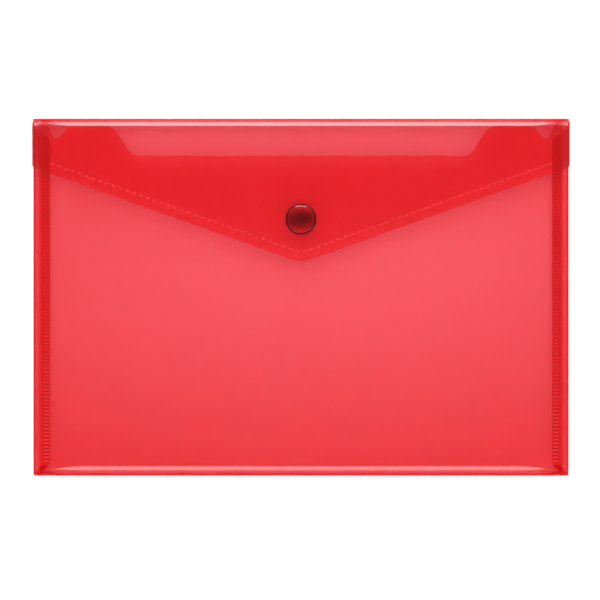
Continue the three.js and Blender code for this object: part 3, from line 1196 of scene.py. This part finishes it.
def score_cutter():
    """Dashes along the V, as deep as the score and standing out of the sheet."""
    right = tip_line(SCORE_INSET, SCORE_END_X, 24)
    line = [(-x, y) for x, y in reversed(right[1:])] + right
    z = FLAP_Z + HALF_SHEET - SCORE_DEPTH
    mesh = bpy.data.meshes.new("score_line")
    mesh.from_pydata(
        [(x * MM, y * MM, (z - droop(x, y)) * MM) for x, y in line],
        [(i, i + 1) for i in range(len(line) - 1)],
        [],
    )
    piece = new_piece("score_cutter", mesh)
    return with_tree(piece, score_tree(), {"Material": score_red})


def cut_score(sheet_piece):
    """Presses the dashed score into the flap's face."""
    cutter = score_cutter()
    cut = sheet_piece.modifiers.new("score", "BOOLEAN")
    cut.operation = "DIFFERENCE"
    cut.solver = "EXACT"
    cut.material_mode = "TRANSFER"
    cut.object = cutter
    settled(sheet_piece)
    smooth_by_angle(sheet_piece, SHEET_SMOOTH)
    bpy.data.objects.remove(cutter)


# The press stud.


STUD_ROUNDS = 72
STUD_SMOOTH = 25.0


def turned(name, profile, material):
    """A closed profile of (radius, Z) turned about the stud's axis."""
    bm = bmesh.new()
    rings = []
    for radius, z in profile:
        if radius < 1e-6:
            rings.append([bm.verts.new((0.0, STUD_Y * MM, z * MM))])
            continue
        ring = []
        for i in range(STUD_ROUNDS):
            a = math.tau * i / STUD_ROUNDS
            ring.append(
                bm.verts.new(
                    (
                        radius * math.cos(a) * MM,
                        (STUD_Y + radius * math.sin(a)) * MM,
                        z * MM,
                    )
                )
            )
        rings.append(ring)
    pairs = list(zip(rings, rings[1:]))
    if len(rings[0]) > 1 or len(rings[-1]) > 1:
        pairs.append((rings[-1], rings[0]))
    for a, b in pairs:
        for i in range(STUD_ROUNDS):
            j = (i + 1) % STUD_ROUNDS
            corners = []
            for ring, k in ((a, i), (a, j), (b, j), (b, i)):
                vert = ring[k if len(ring) > 1 else 0]
                if vert not in corners:
                    corners.append(vert)
            if len(corners) > 2:
                bm.faces.new(corners)
    bmesh.ops.recalc_face_normals(bm, faces=bm.faces)
    piece = new_piece(name, mesh_from(bm, name), material)
    smooth_by_angle(piece, STUD_SMOOTH)
    return piece


# The cap's dome: its radius, its top and how far it falls to its edge.
CAP_FACE_R = 5.8
CAP_TOP_Z = 10.65
CAP_FALL = 0.17
CAP_ROWS = 12

# The eased edge of the dome: how wide each step is and how far it leans.
CAP_SHOULDER = (
    (0.13, 36.3),
    (0.13, 36.8),
    (0.14, 37.3),
    (0.05, 65.0),
    (0.03, 82.0),
)


def cap_piece():
    """The dome on the flap: a ring, a groove inside it and a low dome."""
    dome = []
    for i in range(CAP_ROWS + 1):
        out = i / CAP_ROWS
        dome.append((CAP_FACE_R * out, CAP_TOP_Z - CAP_FALL * out**2))
    radius, z = dome[-1]
    for width, lean in CAP_SHOULDER:
        radius += width
        z -= width * math.tan(math.radians(lean))
        dome.append((radius, z))
    ring = [
        (radius, 8.92),
        (6.36, 8.92),
        (6.40, 9.10),
        (6.76, 9.10),
        (6.85, 9.02),
        (6.85, 8.72),
    ]
    under = [(1.3, 8.70), (1.3, 7.85), (1.85, 7.80), (1.85, 7.50), (0.0, 7.46)]
    profile = dome + rounded(ring, 0.05, 5) + under
    return turned("press_cap_dome", profile, stud_red)


# The pieces, the bodies that they ride on and the nodes that they stand for.


def dress_node(name, material):
    """A CAD node that keeps its shape takes the finish of the real one."""
    mesh = frame["nodes"][name].data
    mesh.materials.clear()
    mesh.materials.append(material)


pocket = pocket_sheet()
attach(pocket, "pocket")
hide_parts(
    "back_panel",
    "bottom_fold_back",
    "bottom_fold_front",
    "front_panel",
    "right_side_fold_front",
    "right_side_fold_back",
    "left_side_fold_front",
    "left_side_fold_back",
    "right_seam_flange",
    "left_seam_flange",
)

teeth = weld_tree()
for side, name in ((-1, "left_weld_teeth"), (1, "right_weld_teeth")):
    row = weld_teeth(teeth, side, name)
    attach(row, "pocket")

flap = flap_sheet()
cut_score(flap)
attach(flap, "flap")
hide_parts("flap_panel")

crown = top_fold_sheet()
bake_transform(crown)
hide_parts("back_top_fold", "flap_top_fold")

cap = cap_piece()
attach(cap, "flap")
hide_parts("press_cap")

for node in ("press_socket", "press_stud", "stud_rivet"):
    dress_node(node, stud_inner_red)


# Studio and camera.


def floor_board():
    """A pale board just under the folder."""
    bm = bmesh.new()
    size = 6.0
    corners = [(-size, -size), (size, -size), (size, size), (-size, size)]
    bm.faces.new([bm.verts.new((x, y, -0.1 * MM)) for x, y in corners])
    board = new_piece("floor_board", mesh_from(bm, "floor_board"), floor_material())
    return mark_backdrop(board)


LIGHT_DISTANCE = 2.0


def softbox(name, tilt, turn, wide, tall, radiance):
    """A soft panel of light: tilt in degrees from above, turn from +Y towards +X."""
    light = bpy.data.lights.new(name, "AREA")
    light.shape = "RECTANGLE"
    light.size = wide
    light.size_y = tall
    light.energy = radiance * math.pi * wide * tall
    lamp = bpy.data.objects.new(name, light)
    bpy.context.scene.collection.objects.link(lamp)
    a = math.radians(tilt)
    b = math.radians(turn)
    away = Vector((math.sin(a) * math.sin(b), math.sin(a) * math.cos(b), math.cos(a)))
    lamp.location = away * LIGHT_DISTANCE
    lamp.rotation_euler = away.to_track_quat("Z", "Y").to_euler()


def studio():
    """Light from both ends and the four corners, none of it mirrored in the flats."""
    floor_board()
    softbox("softbox_top", 43.0, 0.0, 1.8, 2.5, 3.4)
    softbox("softbox_bottom", 26.0, 180.0, 1.4, 1.1, 2.3)
    for turn, radiance in ((45.0, 3.8), (135.0, 4.9), (225.0, 4.9), (315.0, 3.8)):
        softbox(f"softbox_corner_{turn:.0f}", 50.0, turn, 1.2, 1.4, radiance)
    world = bpy.data.worlds.new("studio_air")
    world.use_nodes = True
    back = world.node_tree.nodes["Background"]
    back.inputs["Color"].default_value = (1.0, 1.0, 1.0, 1.0)
    back.inputs["Strength"].default_value = 0.12
    scene = bpy.context.scene
    scene.world = world
    scene.view_settings.view_transform = "Standard"
    scene.view_settings.look = "None"
    scene.cycles.transparent_max_bounces = 48


# What the camera looks at, and half of what it sees there, in millimetres.
CAMERA_AIM = (-0.448, -1.27, 6.0)
HALF_FRAME = 134.4


def photo_camera():
    """Straight above the folder, as in the photograph, with a long lens."""
    data = bpy.data.cameras.new("photo_camera")
    data.lens = 300.0
    data.sensor_width = 36.0
    data.clip_start = 0.1
    data.clip_end = 20.0
    camera = bpy.data.objects.new("photo_camera", data)
    bpy.context.scene.collection.objects.link(camera)
    distance = HALF_FRAME * data.lens / (data.sensor_width / 2)
    aim_x, aim_y, aim_z = CAMERA_AIM
    camera.location = (aim_x * MM, aim_y * MM, (distance + aim_z) * MM)
    bpy.context.scene.camera = camera


studio()
photo_camera()
